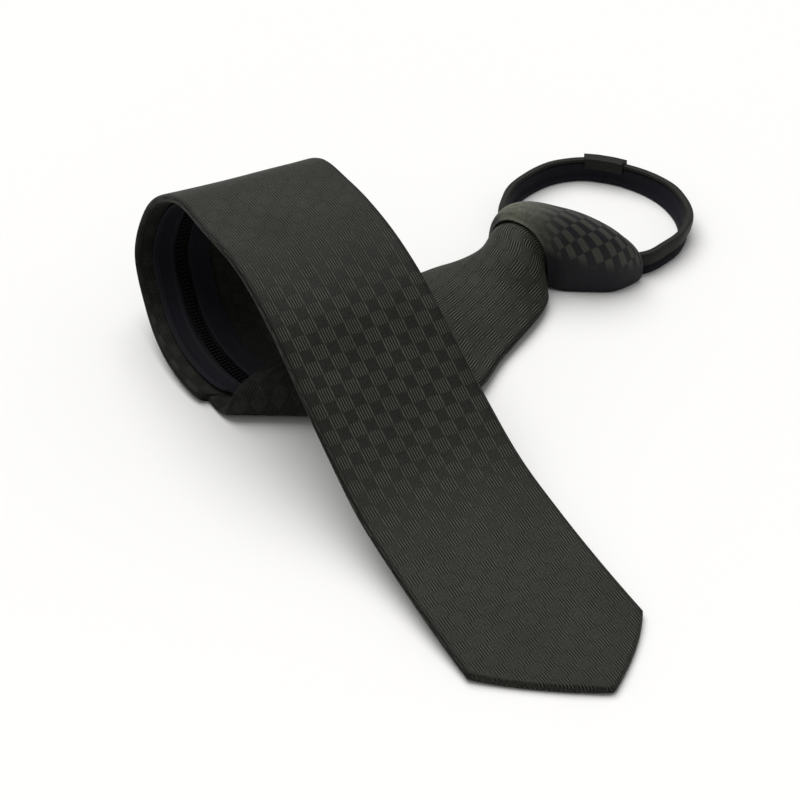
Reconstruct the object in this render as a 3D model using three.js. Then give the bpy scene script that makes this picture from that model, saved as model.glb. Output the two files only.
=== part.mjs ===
// A slim zipper necktie, ready knotted, lying in one loose roll with its pointed tip towards the viewer.
// Millimetres, +Z up, +X to the viewer's right and +Y away from the viewer.
// The blade runs from its tip up over the roll, back under it, through one soft fold and into the knot.
import * as THREE from 'three';

// Sizes of the cloth blade
const bladeLength = 382;        // along the cloth from the corners of its tip to its end in the knot
const bladeWidth = 49.8;          // across the corners of the tip, the widest place
const bladeTaper = 12.8;        // how much narrower the blade is where it meets the knot
const bladeThickness = 2.4;     // cloth, interlining and cloth
const tipLength = 20.8;         // from the corners to the point
const tipLean = 3.8;            // how far the point sits towards the blade's far edge
const tipBulge = 1.9;           // how far the tip's slanted edges swell outwards, measured across
const rollHeight = 49;          // top of the roll above the surface
const foldRoom = 1.6;            // between the two runs of the tail inside the soft fold
const clearance = 0.3;          // between pieces that touch
const surfaceGap = 0.1;         // under the cloth's middle line where it lies on the surface

// Sizes of the closed zipper behind the blade
const tailLength = 262;         // from the knot to the cloth tab at its end
const tapeWidth = 6.4;          // one tape beside the teeth
const tapeThickness = 1.2;
const teethWidth = 2.6;         // the closed row of teeth
const teethGap = 0.7;           // between the row and each tape
const tailDrift = 8.4;          // how far the loose tail has moved towards the blade's near edge
const tabLength = 9;            // the cloth tab over the tail's end
const tabWall = 0.8;

// Sizes of the knot
const mouthHalfWidth = 12;       // half of the throat, where the blade goes in
const collarHalfWidth = 21.5;   // half of the collar side, where the bands go in
const knotHeight = 21;
const wrapWall = 1.5;
const coreLength = 8;
const coreWidth = 17;
const coreRoom = 5.6;           // between the former and the round top of the wrap

// Sizes of the neck band, which stands on its zipper edge
const loopWidth = 53;           // across the neck loop
const loopBulge = 5.1;          // how far the loop reaches past the knot's left end
const loopDepth = 45.8;         // from the collar side of the knot to the back of the loop
const bandHeight = 7.3;
const bandLean = 0.2;           // how far the right band's top leans out at its outermost, per height
const bandTape = 1;             // thickness of the tape
const coverHeight = 3.9;        // the folded cloth over the tape's upper half
const coverWall = 1;
const bandTeethHeight = 1.3;
const bandTeethWidth = 1.7;
const keeperLength = 12.4;
const keeperWall = 0.5;

// Sizes of the slider, hidden in the knot
const sliderLength = 7;
const sliderWidth = 7;
const sliderHeight = 4;

const radians = Math.PI / 180;
const up = new THREE.Vector3(0, 0, 1);

// The middle line of the blade where it lies, one row for each section.
// x and y: place, in hundredths of bladeLength. rise: height in hundredths of rollHeight.
// layer: height as a share of the fold's. swing: plan angle of the section line, from near to far edge.
// tilt: how far its far edge is up. slant: angle between the section line and a square cut of the cloth.
// arch: how far the cloth is bent across its width, as a share of its bend in the mouth of the knot.
const lie = [
  { x: 12.75, y: -31.57, rise: 0, layer: 0, swing: 28.3, tilt: 0, slant: 0, arch: 0 },
  { x: 9.86, y: -26.2, rise: 0.5, layer: 0, swing: 28.3, tilt: 0, slant: 0, arch: 0 },
  { x: 7.5, y: -22.2, rise: 5.6, layer: 0, swing: 28.9, tilt: 0, slant: 0, arch: 0 },
  { x: 5.1, y: -17.95, rise: 12.2, layer: 0, swing: 29.4, tilt: 0, slant: 0, arch: 0 },
  { x: 2.7, y: -13.85, rise: 22.8, layer: 0, swing: 29.4, tilt: 0, slant: 0, arch: 0 },
  { x: 0.5, y: -9.85, rise: 40.2, layer: 0, swing: 29.4, tilt: 0, slant: 0, arch: 0 },
  { x: -1.6, y: -6.15, rise: 61.1, layer: 0, swing: 29.4, tilt: 0, slant: 0, arch: 0 },
  { x: -3.7, y: -2.45, rise: 82.2, layer: 0, swing: 29.4, tilt: 0, slant: 0, arch: 0 },
  { x: -6.0, y: 1.75, rise: 94.9, layer: 0, swing: 29.4, tilt: 0, slant: 0, arch: 0 },
  { x: -8.6, y: 6.0, rise: 99.6, layer: 0, swing: 29, tilt: 2, slant: 0, arch: 0 },
  { x: -11.0, y: 10.4, rise: 94.5, layer: 0, swing: 28, tilt: 0, slant: -4, arch: 0 },
  { x: -13.2, y: 13.2, rise: 69.5, layer: 0, swing: 26, tilt: -5.5, slant: -6, arch: 0 },
  { x: -14.4, y: 13.1, rise: 34.1, layer: 0, swing: 24, tilt: -8.5, slant: 0, arch: 0 },
  { x: -13.6, y: 10.3, rise: 10.3, layer: 0, swing: 23, tilt: -8.5, slant: 5, arch: 0 },
  { x: -11.65, y: 5.3, rise: 3, layer: 0, swing: 21, tilt: -2.5, slant: 10, arch: 0 },
  { x: -8.85, y: 0.9, rise: 1, layer: 0, swing: 13, tilt: -0.5, slant: 20, arch: 0 },
  { fold: true, x: -5.9, y: -2.5, swing: -2, slant: 33 },
  { x: -0.3, y: 1.0, rise: 0, layer: 0.8, swing: -18, tilt: -7, slant: 20, arch: 0 },
  { x: 3.4, y: 7.1, rise: 0, layer: 0.66, swing: -27, tilt: -11, slant: 5, arch: 0.03 },
  { x: 6.35, y: 11.5, rise: 0, layer: 0.34, swing: -30, tilt: -5, slant: 0, arch: 0.3 },
  { x: 7.95, y: 13.5, rise: 0, layer: 0.05, swing: -37, tilt: -1, slant: 0, arch: 0.75 },
  { mouth: 0 },
  { mouth: 1 },
];

// The wrap of the knot from its throat to its collar side, one row for each section.
// x and y: place of the section's middle in hundredths of bladeLength. swing: as above.
// open: 0 is as wide as the mouth, 1 as wide as the collar side. height: share of knotHeight.
const knotRows = [
  { x: 9.0, y: 15.7, swing: -41, open: 0, height: 0.93 },
  { x: 9.6, y: 15.8, swing: -39, open: 0.22, height: 1 },
  { x: 10.6, y: 15.9, swing: -35, open: 0.52, height: 1.08 },
  { x: 11.7, y: 16.1, swing: -31, open: 0.85, height: 1.09 },
  { x: 12.6, y: 16.8, swing: -27, open: 1, height: 0.97 },
  { x: 13.15, y: 17.4, swing: -25, open: 1.05, height: 0.78 },
];

// The neck loop from its left end in the knot round to its right end.
// across: share of loopWidth from its left side. held: where the knot holds the band, as a share of the
// collar side's half width from its middle. out: share of loopDepth from the collar side.
const loopRows = [
  { held: -0.67, out: -0.13 },
  { held: -0.73, out: -0.01 },
  { across: 0.115, out: 0.1 },
  { across: 0.041, out: 0.2 },
  { across: 0.007, out: 0.35 },
  { across: 0, out: 0.51 },
  { across: 0.031, out: 0.65 },
  { across: 0.089, out: 0.8 },
  { across: 0.167, out: 0.9 },
  { across: 0.267, out: 0.97 },
  { across: 0.392, out: 1.0 },
  { across: 0.518, out: 1.0 },
  { across: 0.633, out: 0.97 },
  { across: 0.748, out: 0.91 },
  { across: 0.843, out: 0.83 },
  { across: 0.926, out: 0.72 },
  { across: 0.979, out: 0.61 },
  { across: 1.0, out: 0.49 },
  { across: 1.0, out: 0.37 },
  { across: 0.973, out: 0.25 },
  { across: 0.932, out: 0.13 },
  { held: 0.73, out: 0 },
  { held: 0.64, out: -0.13 },
];

// Cloth colours
const clothColour = 0x23261f;
const tapeColour = 0x14151c;
const teethColour = 0x0d0e13;
const coreColour = 0x1a1a1a;

const cloth = () => new THREE.MeshStandardMaterial({ color: clothColour, roughness: 0.62, metalness: 0 });
const tape = () => new THREE.MeshStandardMaterial({ color: tapeColour, roughness: 0.85, metalness: 0 });
const coil = () => new THREE.MeshStandardMaterial({ color: teethColour, roughness: 0.45, metalness: 0 });
const plastic = () => new THREE.MeshStandardMaterial({ color: coreColour, roughness: 0.6, metalness: 0 });

// A smooth curve through values at uneven places, with the slope of a parabola at each place
function through(places, values, place) {
  const last = places.length - 1;
  let i = 0;
  while (i < last - 1 && place > places[i + 1]) i += 1;
  const step = (k) => places[k + 1] - places[k];
  const rate = (k) => (values[k + 1] - values[k]) / step(k);
  const slope = (k) => {
    if (k === 0) return rate(0);
    if (k === last) return rate(last - 1);
    return (rate(k) * step(k - 1) + rate(k - 1) * step(k)) / (step(k) + step(k - 1));
  };
  const h = step(i);
  const t = (place - places[i]) / h;
  const t2 = t * t;
  const t3 = t2 * t;
  return (2 * t3 - 3 * t2 + 1) * values[i] + (t3 - 2 * t2 + t) * h * slope(i)
    + (3 * t2 - 2 * t3) * values[i + 1] + (t3 - t2) * h * slope(i + 1);
}

// The tail lies behind the blade, and the fold leaves room for two runs of it
const tailBehind = bladeThickness / 2 + clearance + tapeThickness / 2;
const foldRise = 2 * tailBehind + tapeThickness + foldRoom;
const mouthRadius = mouthHalfWidth - wrapWall - 3 * clearance - bladeThickness / 2;

// Half of the blade's width at a share of its length
const halfWidthAt = (share) => (bladeWidth - bladeTaper * share) / 2;
const mouthArch = halfWidthAt(1) / mouthRadius;

// The rows of the blade in millimetres, with the fold written out as a half turn that has a
// short flat run before it and after it
function bladeStations() {
  const unit = bladeLength / 100;
  const base = bladeThickness / 2 + surfaceGap;
  const radius = foldRise / 2;
  const foldAngles = [0, 0, 30, 60, 90, 120, 150, 180, 180];
  const leadAt = (k) => (k === 0 ? -1 : Number(k === foldAngles.length - 1));
  const list = [];
  for (const row of lie) {
    if (row.fold) {
      const axis = new THREE.Vector2(Math.cos(row.swing * radians), Math.sin(row.swing * radians));
      const first = list.length;
      for (const angle of foldAngles) {
        const lead = leadAt(list.length - first) * radius;
        const out = radius * (Math.sin(angle * radians) - 1) - Math.abs(lead);
        const along = (radius * (angle - 90) * radians + lead) * Math.tan(row.slant * radians);
        list.push({
          x: row.x * unit + axis.x * along + axis.y * out,
          y: row.y * unit + axis.y * along - axis.x * out,
          z: base + radius * (1 - Math.cos(angle * radians)),
          swing: row.swing, tilt: 0, slant: row.slant, arch: 0,
        });
      }
    } else if (row.mouth !== undefined) {
      const knot = knotRows[row.mouth];
      const z = knotHeight * knotRows[0].height - wrapWall - clearance - base;
      const plan = { x: knot.x * unit, y: knot.y * unit, swing: knot.swing };
      list.push({ ...plan, z, tilt: 0, slant: 0, arch: mouthArch });
    } else {
      const arch = row.arch * mouthArch;
      const drop = arch > 0 ? halfWidthAt(1) / arch * (1 - Math.cos(arch)) : 0;
      const z = base + row.layer * foldRise + row.rise / 100 * (rollHeight - bladeThickness) + drop;
      list.push({ ...row, x: row.x * unit, y: row.y * unit, z, arch });
    }
  }
  let place = 0;
  list.forEach((station, k) => {
    if (k > 0) {
      const before = list[k - 1];
      place += Math.hypot(station.x - before.x, station.y - before.y, station.z - before.z);
    }
    station.place = place;
  });
  return list;
}

const stations = bladeStations();
const places = stations.map((station) => station.place);
const column = (name) => stations.map((station) => station[name]);
const columns = {};
for (const name of ['x', 'y', 'z', 'swing', 'tilt', 'slant', 'arch']) columns[name] = column(name);
const cornerPlace = places[1];
const endPlace = places[places.length - 1];
const at = (name, place) => through(places, columns[name], place);
const middle = (place) => new THREE.Vector3(at('x', place), at('y', place), at('z', place));

// The section line at a place: its middle, its direction to the far edge and the cloth's upward side
function sectionFrame(place) {
  const swing = at('swing', place) * radians;
  const tilt = at('tilt', place) * radians;
  const across = new THREE.Vector3(
    Math.cos(swing) * Math.cos(tilt), Math.sin(swing) * Math.cos(tilt), Math.sin(tilt));
  const reach = 0.2;
  const along = middle(Math.min(place + reach, endPlace)).sub(middle(Math.max(place - reach, 0)));
  const face = new THREE.Vector3().crossVectors(across, along).normalize();
  return { centre: middle(place), across, face };
}

// Half of the blade's width at a place on its middle line
const bladeHalfWidth = (place) => (
  halfWidthAt(Math.max(place - cornerPlace, 0) / (endPlace - cornerPlace)));

// A point of the cloth: place along the middle line, b across it, off above a layer that lies
// the given distance above the blade's middle
function clothPoint(place, b, off, layer = 0) {
  const { centre, across, face } = sectionFrame(place);
  const stretch = 1 / Math.cos(at('slant', place) * radians);
  const arch = Math.max(at('arch', place), 0);
  const point = centre.clone();
  if (arch < 0.01) {
    return point.addScaledVector(across, b * stretch).addScaledVector(face, layer + off);
  }
  const radius = bladeHalfWidth(place) / arch;
  const turn = b / (radius + layer);
  const reach = radius + layer + off;
  point.addScaledVector(across, reach * Math.sin(turn) * stretch);
  return point.addScaledVector(face, reach * Math.cos(turn) - radius);
}

// A closed mesh from sections of equal point count, with both ends capped
function loft(sections, profile) {
  const count = sections[0].length;
  const positions = [];
  for (const section of sections) for (const point of section) positions.push(point.x, point.y, point.z);
  const faces = [];
  for (let s = 0; s < sections.length - 1; s += 1) {
    for (let k = 0; k < count; k += 1) {
      const a = s * count + k;
      const b = s * count + (k + 1) % count;
      faces.push([a, b, b + count], [a, b + count, a + count]);
    }
  }
  const cap = THREE.ShapeUtils.triangulateShape(profile, []);
  const end = (sections.length - 1) * count;
  for (const [a, b, c] of cap) faces.push([c, b, a], [a + end, b + end, c + end]);
  return closedGeometry(positions, faces);
}

// A closed mesh from rows of points that run round both ways
function ringLoft(rows) {
  const count = rows[0].length;
  const positions = [];
  for (const row of rows) for (const point of row) positions.push(point.x, point.y, point.z);
  const faces = [];
  for (let s = 0; s < rows.length; s += 1) {
    const next = (s + 1) % rows.length;
    for (let k = 0; k < count; k += 1) {
      const j = (k + 1) % count;
      faces.push([s * count + k, s * count + j, next * count + j]);
      faces.push([s * count + k, next * count + j, next * count + k]);
    }
  }
  return closedGeometry(positions, faces);
}

// Turns the faces outwards, going by the volume that they enclose
function closedGeometry(positions, faces) {
  const corner = (k) => new THREE.Vector3().fromArray(positions, 3 * k);
  let volume = 0;
  for (const [a, b, c] of faces) volume += corner(a).dot(corner(b).cross(corner(c)));
  const index = [];
  for (const [a, b, c] of faces) {
    if (volume > 0) index.push(a, b, c);
    else index.push(a, c, b);
  }
  const geometry = new THREE.BufferGeometry();
  geometry.setAttribute('position', new THREE.Float32BufferAttribute(positions, 3));
  geometry.setIndex(index);
  geometry.computeVertexNormals();
  return geometry;
}

// A flat strip's profile with rounded edges, from b = -1 to 1 and half-thickness -1 to 1
const halfProfile = [[1, 0], [0.975, 0.7], [0.93, 1], [0.7, 1], [0.47, 1], [0.23, 1], [0, 1]];
const topProfile = [...halfProfile, ...halfProfile.slice(1, -1).reverse().map(([b, off]) => [-b, off])];
const stripProfile = [...topProfile, ...topProfile.map(([b, off]) => [-b, -off])];

// Places along the middle line between two places, close together where the cloth turns fast
function spread(from, to) {
  const list = [from];
  const most = 14;
  const least = 0.9;
  const bend = 11 * radians;
  let place = from;
  while (place < to - least) {
    let step = most;
    const start = sectionFrame(place);
    while (step > least) {
      const end = sectionFrame(Math.min(place + step, to));
      const turned = start.face.angleTo(end.face) + start.across.angleTo(end.across);
      const arched = Math.abs(at('arch', Math.min(place + step, to)) - at('arch', place));
      if (turned + arched * 0.5 < bend) break;
      step *= 0.8;
    }
    place = Math.min(place + step, to);
    list.push(place);
  }
  if (to - list[list.length - 1] > 0.01) list[list.length - 1] = to;
  return list;
}

// The blade: the pointed tip first, then the strip up to its end in the knot
function bladeGeometry() {
  const tipStart = cornerPlace - tipLength;
  const tipSteps = [0.06, 0.25, 0.5, 0.75];
  const sections = [];
  for (const share of tipSteps) {
    const place = tipStart + share * tipLength;
    const half = bladeWidth / 2 * share + tipBulge * 4 * share * (1 - share);
    const shift = tipLean * (1 - share);
    sections.push(stripProfile.map(([b, off]) => (
      clothPoint(place, shift + b * half, off * bladeThickness / 2))));
  }
  for (const place of spread(cornerPlace, endPlace)) {
    const half = bladeHalfWidth(place);
    sections.push(stripProfile.map(([b, off]) => clothPoint(place, b * half, off * bladeThickness / 2)));
  }
  return loft(sections, asShape(stripProfile));
}

// A plain strip's profile
const plainProfile = [[-1, -1], [0, -1], [1, -1], [1, 1], [0, 1], [-1, 1]];
const asShape = (profile) => profile.map(([b, off]) => new THREE.Vector2(b, off));

// The tail leaves the knot in the middle and drifts to the near edge on its way into the roll
const tailStart = endPlace - tailLength;
const tapeMiddle = teethWidth / 2 + teethGap + tapeWidth / 2;
const driftFrom = endPlace - tailLength * 0.1;
const driftTo = endPlace - tailLength * 0.6;
const tailMiddle = (place) => -tailDrift * (1 - THREE.MathUtils.smoothstep(place, driftTo, driftFrom));

// It hangs a little clear of the blade at its end, where the tab goes round it, and in the bent throat
const tabRoom = tabWall + clearance;
const throatRoom = 0.5;
const tailLayer = (place) => -tailBehind - throatRoom * at('arch', place) / mouthArch
  - tabRoom * (1 - THREE.MathUtils.smoothstep(place, tailStart + tabLength * 1.5, tailStart + tabLength * 3));

// A strip of the tail, beside or on its middle
function tailStrip(middleB, halfWidth) {
  const halfThickness = tapeThickness / 2;
  const sections = spread(tailStart, endPlace).map((place) => plainProfile.map(([b, off]) => (
    clothPoint(place, tailMiddle(place) + middleB + b * halfWidth, off * halfThickness, tailLayer(place)))));
  return loft(sections, asShape(plainProfile));
}

// The tab: a flat sleeve of cloth round the ends of both tapes and the teeth
function tabGeometry() {
  const inner = { half: tapeMiddle + tapeWidth / 2 + clearance, thick: tapeThickness / 2 + clearance };
  const outer = { half: inner.half + tabWall, thick: inner.thick + tabWall };
  const tiny = { half: inner.half / 2, thick: inner.thick / 2 };
  const from = tailStart - clearance;
  const lip = tailStart + tabLength;
  const sectionAt = (place, size) => plainProfile.map(([b, off]) => (
    clothPoint(place, tailMiddle(place) + b * size.half, off * size.thick, tailLayer(place))));
  const sections = [];
  for (const place of spread(from - tabWall, lip)) sections.push(sectionAt(place, outer));
  for (const place of spread(from, lip).reverse()) sections.push(sectionAt(place, inner));
  sections.push(sectionAt(from, tiny));
  return loft(sections, asShape(plainProfile));
}

// The knot's section: a flat underside on the surface and a round top
function knotSection(row, inset) {
  const unit = bladeLength / 100;
  const half = THREE.MathUtils.lerp(mouthHalfWidth, collarHalfWidth, row.open) - inset;
  const height = knotHeight * row.height;
  const low = inset;
  const swing = row.swing * radians;
  const shoulder = 0.22 * height;
  const points = [];
  const steps = 12;
  for (let k = 0; k <= steps; k += 1) {
    const angle = Math.PI * k / steps;
    const side = Math.sign(Math.cos(angle)) * Math.abs(Math.cos(angle)) ** 0.85;
    points.push([half * side, shoulder + (height - inset - shoulder) * Math.sin(angle) ** 0.8]);
  }
  for (const side of [-0.9, -0.45, 0, 0.45, 0.9]) points.push([half * side, low]);
  return points.map(([b, z]) => new THREE.Vector3(
    row.x * unit + Math.cos(swing) * b, row.y * unit + Math.sin(swing) * b, z));
}

// The wrap: an open sleeve of cloth from throat to collar side, turned in a little at the collar
function wrapGeometry() {
  const outer = knotRows.map((row) => knotSection(row, 0));
  const inner = knotRows.map((row) => knotSection(row, wrapWall)).reverse();
  return ringLoft([...outer, ...inner]);
}

// The plain former between the ends of the bands
function coreGeometry() {
  const row = knotRows[3];
  const unit = bladeLength / 100;
  const height = knotHeight * row.height - 2 * (wrapWall + clearance) - coreRoom;
  const box = new THREE.BoxGeometry(coreWidth, coreLength, height);
  box.rotateZ(row.swing * radians);
  box.translate(row.x * unit, row.y * unit, wrapWall + clearance + height / 2);
  return box;
}

// The loop's plan curve, laid against the collar side of the knot
function loopCurve() {
  const unit = bladeLength / 100;
  const collar = knotRows[knotRows.length - 1];
  const swing = collar.swing * radians;
  const across = new THREE.Vector3(Math.cos(swing), Math.sin(swing), 0);
  const out = new THREE.Vector3(-Math.sin(swing), Math.cos(swing), 0);
  const collarHalf = collarHalfWidth * collar.open;
  const acrossOf = (row) => (
    row.held === undefined ? row.across * loopWidth - collarHalf - loopBulge : row.held * collarHalf);
  const points = loopRows.map((row) => new THREE.Vector3(collar.x * unit, collar.y * unit, 0)
    .addScaledVector(across, acrossOf(row)).addScaledVector(out, row.out * loopDepth));
  return new THREE.CatmullRomCurve3(points, false, 'centripetal');
}

const loop = loopCurve();

// The right band leans outwards on its way from the keeper to the knot, and stands upright at both ends
const leanAt = (share) => bandLean * THREE.MathUtils.smoothstep(share, 0.5, 0.64)
  * (1 - THREE.MathUtils.smoothstep(share, 0.7, 0.88));

// A band piece swept along the loop between two shares of its length. The profile's first number
// is the distance outwards from the tape's middle, its second the height above the surface.
function bandPiece(from, to, profile, steps) {
  const sections = [];
  for (let s = 0; s <= steps; s += 1) {
    const share = from + (to - from) * s / steps;
    const point = loop.getPointAt(share);
    const along = loop.getTangentAt(share);
    const outwards = new THREE.Vector3().crossVectors(up, along).normalize();
    const lean = leanAt(share);
    sections.push(profile.map(([d, z]) => point.clone().addScaledVector(outwards, d + z * lean).setZ(z)));
  }
  return loft(sections, profile.map(([d, z]) => new THREE.Vector2(d, z)));
}

const halfTape = bandTape / 2;
const coverOut = halfTape + clearance + coverWall;
const coverLow = bandHeight - coverHeight;
const capLow = bandHeight - coverWall;
const coverProfile = [
  [halfTape + clearance, coverLow], [coverOut, coverLow], [coverOut, bandHeight - 0.6],
  [coverOut - 0.6, bandHeight], [-halfTape + 0.3, bandHeight], [-halfTape, bandHeight - 0.4],
  [-halfTape, capLow], [halfTape + clearance, capLow],
];
const tapeLow = bandTeethHeight + clearance;
const tapeProfile = [
  [-halfTape, tapeLow], [halfTape, tapeLow], [halfTape, capLow - clearance], [-halfTape, capLow - clearance],
];
const teethOctagon = [[-1, 0.3], [-0.6, 0], [0.6, 0], [1, 0.3], [1, 0.75], [0.6, 1], [-0.6, 1], [-1, 0.75]];
const teethProfile = teethOctagon.map(([d, z]) => [d * bandTeethWidth / 2, z * bandTeethHeight]);

// The keeper sits astride the cover and the tape at the back of the loop
const keeperOut = coverOut + clearance + keeperWall;
const keeperIn = -halfTape - clearance - keeperWall;
const keeperTop = bandHeight + clearance + keeperWall;
const keeperLow = coverLow - keeperWall;
const keeperProfile = [
  [coverOut + clearance, keeperLow], [keeperOut, keeperLow], [keeperOut, keeperTop], [keeperIn, keeperTop],
  [keeperIn, keeperLow], [keeperIn + keeperWall, keeperLow], [keeperIn + keeperWall, bandHeight + clearance],
  [coverOut + clearance, bandHeight + clearance],
];

const loopLength = loop.getLength();
const backShare = 0.462;
const teethInset = 0.075;       // share of the loop inside the knot, where the teeth stop short
const halfGap = clearance / 2 / loopLength;
const bandSteps = 16;

const model = new THREE.Group();

function add(name, geometry, material) {
  const mesh = new THREE.Mesh(geometry, material);
  mesh.name = name;
  model.add(mesh);
}

add('blade', bladeGeometry(), cloth());
add('knot_wrap', wrapGeometry(), cloth());
add('knot_core', coreGeometry(), plastic());
for (const [side, from, to] of [['left', 0, backShare - halfGap], ['right', backShare + halfGap, 1]]) {
  add(`band_cover_${side}`, bandPiece(from, to, coverProfile, bandSteps), cloth());
  add(`band_tape_${side}`, bandPiece(from, to, tapeProfile, bandSteps), tape());
  const teethFrom = Math.max(from, teethInset);
  const teethTo = Math.min(to, 1 - teethInset);
  add(`band_teeth_${side}`, bandPiece(teethFrom, teethTo, teethProfile, bandSteps), coil());
}
const keeperShare = keeperLength / 2 / loopLength;
add('keeper', bandPiece(backShare - keeperShare, backShare + keeperShare, keeperProfile, 4), cloth());
add('tail_tape_left', tailStrip(-tapeMiddle, tapeWidth / 2), tape());
add('tail_tape_right', tailStrip(tapeMiddle, tapeWidth / 2), tape());
add('tail_teeth', tailStrip(0, teethWidth / 2), coil());
add('tail_end', tabGeometry(), cloth());

// The slider stands on the knot's floor in front of the former
const sliderRow = knotRows[4];
const sliderBox = new THREE.BoxGeometry(sliderWidth, sliderLength, sliderHeight);
sliderBox.rotateZ(sliderRow.swing * radians);
const sliderOut = coreLength / 2 + clearance + sliderLength / 2;
const coreRow = knotRows[3];
sliderBox.translate(
  coreRow.x * bladeLength / 100 - Math.sin(coreRow.swing * radians) * sliderOut,
  coreRow.y * bladeLength / 100 + Math.cos(coreRow.swing * radians) * sliderOut,
  wrapWall + clearance + sliderHeight / 2);
add('slider', sliderBox, plastic());

// The origin is under the middle of the whole part, on the surface that it lies on
const box = new THREE.Box3().setFromObject(model);
const centre = box.getCenter(new THREE.Vector3());
model.position.set(-centre.x, -centre.y, -box.min.z);
model.updateMatrixWorld(true);

export default model;
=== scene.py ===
# A slim zipper necktie, ready knotted, lying in one loose roll with its pointed tip towards the viewer.
# Metres, +Z up, +X to the viewer's right and +Y away from the viewer.
import math

import bpy
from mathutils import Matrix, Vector, noise


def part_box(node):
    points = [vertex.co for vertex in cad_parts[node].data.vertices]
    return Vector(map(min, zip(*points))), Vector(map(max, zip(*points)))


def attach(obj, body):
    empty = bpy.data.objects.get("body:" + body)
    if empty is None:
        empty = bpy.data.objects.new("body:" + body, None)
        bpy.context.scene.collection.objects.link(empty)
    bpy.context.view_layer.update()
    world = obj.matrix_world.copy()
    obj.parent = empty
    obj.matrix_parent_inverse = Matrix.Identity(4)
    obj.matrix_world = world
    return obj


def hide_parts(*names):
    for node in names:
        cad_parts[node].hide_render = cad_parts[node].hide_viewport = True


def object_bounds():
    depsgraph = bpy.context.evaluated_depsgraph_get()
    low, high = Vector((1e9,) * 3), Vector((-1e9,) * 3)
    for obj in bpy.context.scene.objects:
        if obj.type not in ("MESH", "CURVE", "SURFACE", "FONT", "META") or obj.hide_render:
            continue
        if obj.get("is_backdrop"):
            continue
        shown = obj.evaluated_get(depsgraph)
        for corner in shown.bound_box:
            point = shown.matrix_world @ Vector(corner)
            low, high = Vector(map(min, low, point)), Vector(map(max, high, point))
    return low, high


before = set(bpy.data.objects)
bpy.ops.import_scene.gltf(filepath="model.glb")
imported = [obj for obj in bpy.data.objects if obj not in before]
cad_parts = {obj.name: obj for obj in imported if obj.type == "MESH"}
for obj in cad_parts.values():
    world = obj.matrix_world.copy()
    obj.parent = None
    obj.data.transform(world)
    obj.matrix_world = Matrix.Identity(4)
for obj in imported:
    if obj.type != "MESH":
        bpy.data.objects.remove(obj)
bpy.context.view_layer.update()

# Sizes of the cloth blade
BLADE_LENGTH = 0.382
BLADE_WIDTH = 0.0498
BLADE_TAPER = 0.0128
BLADE_THICKNESS = 0.0024
TIP_LENGTH = 0.0208
TIP_LEAN = 0.0038
TIP_BULGE = 0.0019
ROLL_HEIGHT = 0.049
FOLD_ROOM = 0.0016
CLEARANCE = 0.0003
SURFACE_GAP = 0.0001

# Sizes of the closed zipper behind the blade
TAIL_LENGTH = 0.262
TAPE_WIDTH = 0.0064
TAPE_THICKNESS = 0.0012
TEETH_WIDTH = 0.0026
TEETH_GAP = 0.0007
TAIL_DRIFT = 0.0084
TAB_LENGTH = 0.009
TAB_WALL = 0.0008

# Sizes of the knot
MOUTH_HALF_WIDTH = 0.012
COLLAR_HALF_WIDTH = 0.0215
KNOT_HEIGHT = 0.021
WRAP_WALL = 0.0015

# Sizes of the neck band
LOOP_WIDTH = 0.053
LOOP_BULGE = 0.0051
LOOP_DEPTH = 0.0458
BAND_HEIGHT = 0.0073
BAND_TAPE = 0.001
BAND_LEAN = 0.2          # how far the right band's top leans out at its outermost, per height
COVER_HEIGHT = 0.0039
COVER_WALL = 0.001
BAND_TEETH_HEIGHT = 0.0013
BAND_TEETH_WIDTH = 0.0017
KEEPER_LENGTH = 0.0124
KEEPER_WALL = 0.0005
BACK_SHARE = 0.462       # where the keeper is, as a share of the loop's length
TEETH_INSET = 0.075      # the loop's share inside the knot at each end, without teeth

# The weave: one cell of the checks, and the fine ribs in every second cell
CELL = 0.00382
RIBS = 5.3

# The middle line of the blade, a row for each section, as the part's own table has it.
# x, y: hundredths of the blade's length. rise: hundredths of the roll's height. layer: share of the fold's.
# swing: plan angle of the section line. tilt: how far its far edge is up. slant: its angle to a square cut.
# arch: the bend across the cloth, as a share of its bend in the mouth of the knot.
LIE_COLUMNS = ("x", "y", "rise", "layer", "swing", "tilt", "slant", "arch")
LIE = [
    (12.75, -31.57, 0, 0, 28.3, 0, 0, 0),
    (9.86, -26.2, 0.5, 0, 28.3, 0, 0, 0),
    (7.5, -22.2, 5.6, 0, 28.9, 0, 0, 0),
    (5.1, -17.95, 12.2, 0, 29.4, 0, 0, 0),
    (2.7, -13.85, 22.8, 0, 29.4, 0, 0, 0),
    (0.5, -9.85, 40.2, 0, 29.4, 0, 0, 0),
    (-1.6, -6.15, 61.1, 0, 29.4, 0, 0, 0),
    (-3.7, -2.45, 82.2, 0, 29.4, 0, 0, 0),
    (-6.0, 1.75, 94.9, 0, 29.4, 0, 0, 0),
    (-8.6, 6.0, 99.6, 0, 29, 2, 0, 0),
    (-11.0, 10.4, 94.5, 0, 28, 0, -4, 0),
    (-13.2, 13.2, 69.5, 0, 26, -5.5, -6, 0),
    (-14.4, 13.1, 34.1, 0, 24, -8.5, 0, 0),
    (-13.6, 10.3, 10.3, 0, 23, -8.5, 5, 0),
    (-11.65, 5.3, 3, 0, 21, -2.5, 10, 0),
    (-8.85, 0.9, 1, 0, 13, -0.5, 20, 0),
    "fold",
    (-0.3, 1.0, 0, 0.8, -18, -7, 20, 0),
    (3.4, 7.1, 0, 0.66, -27, -11, 5, 0.03),
    (6.35, 11.5, 0, 0.34, -30, -5, 0, 0.3),
    (7.95, 13.5, 0, 0.05, -37, -1, 0, 0.75),
    "mouth",
    "inside",
]
FOLD = {"x": -5.9, "y": -2.5, "swing": -2, "slant": 33}
FOLD_ANGLES = (0, 0, 30, 60, 90, 120, 150, 180, 180)

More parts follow.
